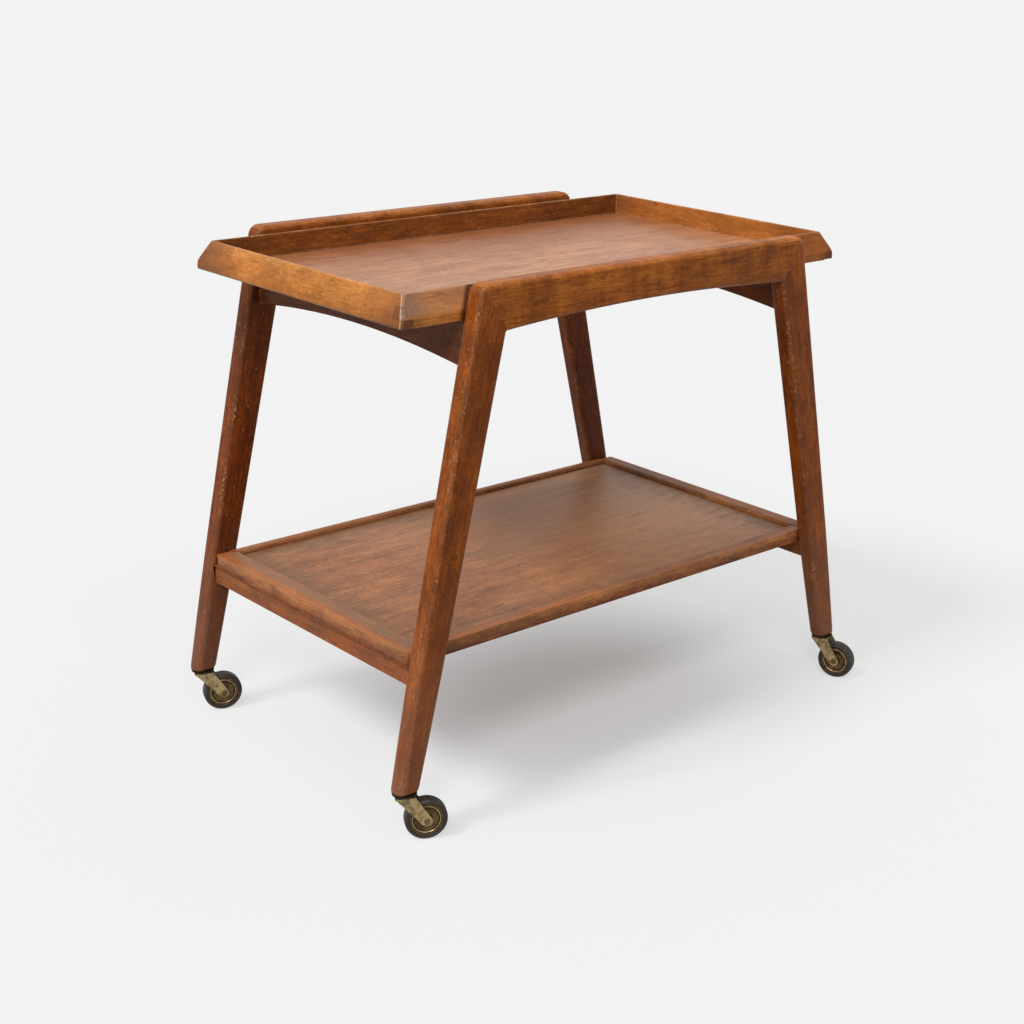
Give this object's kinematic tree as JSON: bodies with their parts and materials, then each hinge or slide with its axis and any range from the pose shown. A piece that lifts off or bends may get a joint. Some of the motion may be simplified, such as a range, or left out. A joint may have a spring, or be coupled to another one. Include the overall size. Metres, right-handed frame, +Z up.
{
  "type": "bar cart",
  "caption": "Two-tier wooden serving cart on swivel casters: splayed legs under arched side rails, a lift-off tray with leaning walls, and a lipped lower shelf.",
  "frame": {"origin": "on the floor under the middle of the cart", "axes": "+X along the length, +Y to the back, +Z up"},
  "size_m": [0.7618, 0.5376, 0.63],
  "materials": {
    "frame_teak": "oiled teak, worn and darkened, satin",
    "tray_wall_teak": "oiled teak, golden brown, satin",
    "shelf_lip_teak": "oiled teak, satin",
    "panel_veneer": "teak veneer, faded, satin",
    "dowel_beech": "plain beech dowel",
    "steel_screw": "dull steel",
    "aged_steel": "dull plated steel, darkened",
    "aged_brass": "brass-plated, tarnished",
    "grey_rubber": "old grey-black rubber, matt"
  },
  "bodies": {
    "frame": {"front_left_leg": "frame_teak", "front_right_leg": "frame_teak", "back_left_leg": "frame_teak", "back_right_leg": "frame_teak", "front_side_rail": "frame_teak", "back_side_rail": "frame_teak", "corner_dowels": "dowel_beech", "left_top_cross_rail": "frame_teak", "right_top_cross_rail": "frame_teak", "left_shelf_rail": "frame_teak", "right_shelf_rail": "frame_teak", "shelf_panel": "panel_veneer", "shelf_front_lip": "shelf_lip_teak", "shelf_back_lip": "shelf_lip_teak", "shelf_left_lip": "shelf_lip_teak", "shelf_right_lip": "shelf_lip_teak", "shelf_screws": "steel_screw", "front_left_caster_socket": "aged_steel", "front_left_caster_stem": "aged_steel", "front_left_swivel_washer": "aged_steel", "front_right_caster_socket": "aged_steel", "front_right_caster_stem": "aged_steel", "front_right_swivel_washer": "aged_steel", "back_left_caster_socket": "aged_steel", "back_left_caster_stem": "aged_steel", "back_left_swivel_washer": "aged_steel", "back_right_caster_socket": "aged_steel", "back_right_caster_stem": "aged_steel", "back_right_swivel_washer": "aged_steel"},
    "tray": {"tray_panel": "panel_veneer", "tray_front_wall": "tray_wall_teak", "tray_back_wall": "tray_wall_teak", "tray_left_end": "tray_wall_teak", "tray_right_end": "tray_wall_teak", "tray_left_cleat": "frame_teak", "tray_right_cleat": "frame_teak"},
    "front_left_swivel": {"front_left_caster_fork": "aged_brass", "front_left_caster_axle": "aged_steel"},
    "front_left_wheel": {"front_left_wheel_hub": "aged_brass", "front_left_wheel_tyre": "grey_rubber"},
    "front_right_swivel": {"front_right_caster_fork": "aged_brass", "front_right_caster_axle": "aged_steel"},
    "front_right_wheel": {"front_right_wheel_hub": "aged_brass", "front_right_wheel_tyre": "grey_rubber"},
    "back_left_swivel": {"back_left_caster_fork": "aged_brass", "back_left_caster_axle": "aged_steel"},
    "back_left_wheel": {"back_left_wheel_hub": "aged_brass", "back_left_wheel_tyre": "grey_rubber"},
    "back_right_swivel": {"back_right_caster_fork": "aged_brass", "back_right_caster_axle": "aged_steel"},
    "back_right_wheel": {"back_right_wheel_hub": "aged_brass", "back_right_wheel_tyre": "grey_rubber"}
  },
  "joints": [
    {"name": "tray_lift", "type": "slide", "parent": "frame", "child": "tray", "axis": [0, 0, 1], "range_m": [0, 0.1]},
    {"name": "front_left_caster_swivel", "type": "hinge", "parent": "frame", "child": "front_left_swivel", "pos_m": [-0.3616, -0.221, 0.055], "axis": [0, 0, 1], "continuous": true},
    {"name": "front_left_wheel_spin", "type": "hinge", "parent": "front_left_swivel", "child": "front_left_wheel", "pos_m": [-0.34041, -0.23227, 0.025], "axis": [0.4695, 0.8829, 0], "continuous": true},
    {"name": "front_right_caster_swivel", "type": "hinge", "parent": "frame", "child": "front_right_swivel", "pos_m": [0.3616, -0.221, 0.055], "axis": [0, 0, 1], "continuous": true},
    {"name": "front_right_wheel_spin", "type": "hinge", "parent": "front_right_swivel", "child": "front_right_wheel", "pos_m": [0.36981, -0.24355, 0.025], "axis": [0.9397, 0.342, 0], "continuous": true},
    {"name": "back_left_caster_swivel", "type": "hinge", "parent": "frame", "child": "back_left_swivel", "pos_m": [-0.3616, 0.221, 0.055], "axis": [0, 0, 1], "continuous": true},
    {"name": "back_left_wheel_spin", "type": "hinge", "parent": "back_left_swivel", "child": "back_left_wheel", "pos_m": [-0.33905, 0.21279, 0.025], "axis": [0.342, 0.9397, 0], "continuous": true},
    {"name": "back_right_caster_swivel", "type": "hinge", "parent": "frame", "child": "back_right_swivel", "pos_m": [0.3616, 0.221, 0.055], "axis": [0, 0, 1], "continuous": true},
    {"name": "back_right_wheel_spin", "type": "hinge", "parent": "back_right_swivel", "child": "back_right_wheel", "pos_m": [0.36981, 0.24355, 0.025], "axis": [-0.9397, 0.342, 0], "continuous": true}
  ]
}
